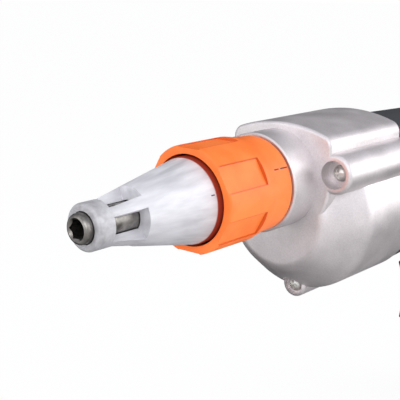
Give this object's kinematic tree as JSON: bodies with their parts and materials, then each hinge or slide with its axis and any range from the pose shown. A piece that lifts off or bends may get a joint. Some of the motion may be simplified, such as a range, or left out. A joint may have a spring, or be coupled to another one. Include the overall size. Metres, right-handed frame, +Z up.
{
  "type": "drywall screwdriver",
  "caption": "Corded pistol-grip drywall screwdriver with a magnetic hex bit holder, a windowed depth-sensing nose, an orange depth ring, a cast gear case and a motor housing.",
  "frame": {"origin": "on the spindle line at the mouth of the bit holder", "axes": "+X forward out of the nose, +Y to the tool's left, +Z up, away from the handle"},
  "size_m": [0.2982, 0.07, 0.1771],
  "materials": {
    "dark_steel": "satin",
    "bright_steel": "polished",
    "magnet_steel": "satin",
    "nose_aluminium": "satin",
    "orange_plastic": "satin",
    "case_aluminium": "fine cast grain",
    "bush_bronze": "satin",
    "black_rubber": "matte",
    "grip_rubber": "fine texture",
    "gear_steel": "ground",
    "screw_steel": "zinc plated",
    "core_steel": "laminated",
    "copper_wire": "enamelled",
    "fan_plastic": "matte",
    "carbon": "matte",
    "brush_brass": "plain",
    "housing_plastic": "fine spark grain",
    "control_plastic": "satin",
    "switch_plastic": "satin",
    "capacitor_plastic": "gloss"
  },
  "bodies": {
    "housing": {"gear_case": "case_aluminium", "case_screws": "screw_steel", "bearing_plate": "case_aluminium", "spindle_bush": "bush_bronze", "spindle_seal": "black_rubber", "gear_pin": "bright_steel", "gear_washer": "bright_steel", "front_bearing_outer": "bright_steel", "front_bearing_balls": "bright_steel", "rear_bearing_outer": "bright_steel", "rear_bearing_balls": "bright_steel", "field_core": "core_steel", "field_coils": "copper_wire", "fan_baffle": "fan_plastic", "brush_holders": "brush_brass", "carbon_brushes": "carbon", "brush_springs": "bright_steel", "housing_left": "housing_plastic", "housing_right": "housing_plastic", "housing_screws": "screw_steel", "grip_left": "grip_rubber", "grip_right": "grip_rubber", "switch_body": "switch_plastic", "trigger_spring": "bright_steel", "capacitor": "capacitor_plastic", "cord_clamp": "switch_plastic", "clamp_screws": "screw_steel", "cord_inlet": "black_rubber"},
    "armature": {"armature_shaft": "gear_steel", "armature_core": "core_steel", "armature_windings": "copper_wire", "commutator": "copper_wire", "motor_fan": "fan_plastic", "front_bearing_inner": "bright_steel", "rear_bearing_inner": "bright_steel"},
    "gear": {"drive_gear": "gear_steel", "clutch_spring": "bright_steel"},
    "washer": {"thrust_washer": "bright_steel"},
    "spindle": {"spindle": "gear_steel", "bit_holder": "dark_steel", "bit_magnet": "magnet_steel", "holder_ball": "bright_steel", "holder_clip": "bright_steel"},
    "locator": {"nose_locator": "nose_aluminium", "nose_o_ring": "black_rubber"},
    "ring": {"depth_ring": "orange_plastic"},
    "trigger": {"trigger": "control_plastic"},
    "lever": {"reverse_lever": "control_plastic"},
    "lock": {"lock_button": "control_plastic"}
  },
  "joints": [
    {"name": "armature_spin", "type": "hinge", "parent": "housing", "child": "armature", "pos_m": [-0.17, 0, -0.01575], "axis": [1, 0, 0], "continuous": true},
    {"name": "gear_spin", "type": "hinge", "parent": "housing", "child": "gear", "pos_m": [-0.132, 0, 0], "axis": [1, 0, 0], "continuous": true},
    {"name": "spindle_push", "type": "slide", "parent": "housing", "child": "washer", "axis": [1, 0, 0], "range_m": [-0.0045, 0], "stiffness_N_per_m": 1500, "springref_m": 0.004, "deforming": ["clutch_spring"]},
    {"name": "spindle_spin", "type": "hinge", "parent": "washer", "child": "spindle", "pos_m": [-0.09, 0, 0], "axis": [1, 0, 0], "continuous": true},
    {"name": "nose_slide", "type": "slide", "parent": "housing", "child": "locator", "axis": [1, 0, 0], "range_m": [0, 0.0045]},
    {"name": "ring_turn", "type": "hinge", "parent": "locator", "child": "ring", "pos_m": [-0.07, 0, 0], "axis": [1, 0, 0], "range_deg": [0, 1080]},
    {"name": "trigger_press", "type": "slide", "parent": "housing", "child": "trigger", "axis": [-0.9781, 0, 0.2079], "range_m": [0, 0.007], "stiffness_N_per_m": 800, "springref_m": -0.003, "deforming": ["trigger_spring"]},
    {"name": "reverse_swing", "type": "hinge", "parent": "housing", "child": "lever", "pos_m": [-0.25004, 0, -0.05708], "axis": [0.2079, 0, 0.9781], "range_deg": [-12, 12]},
    {"name": "lock_press", "type": "slide", "parent": "housing", "child": "lock", "axis": [0, -1, 0], "range_m": [0, 0.003], "stiffness_N_per_m": 1000, "springref_m": -0.001}
  ],
  "couplings": [
    {"joint": "gear_spin", "follows": "armature_spin", "ratio": -0.25},
    {"joint": "spindle_spin", "follows": "armature_spin", "ratio": -0.25},
    {"joint": "nose_slide", "follows": "ring_turn", "m_per_rad": 0.00023873}
  ]
}
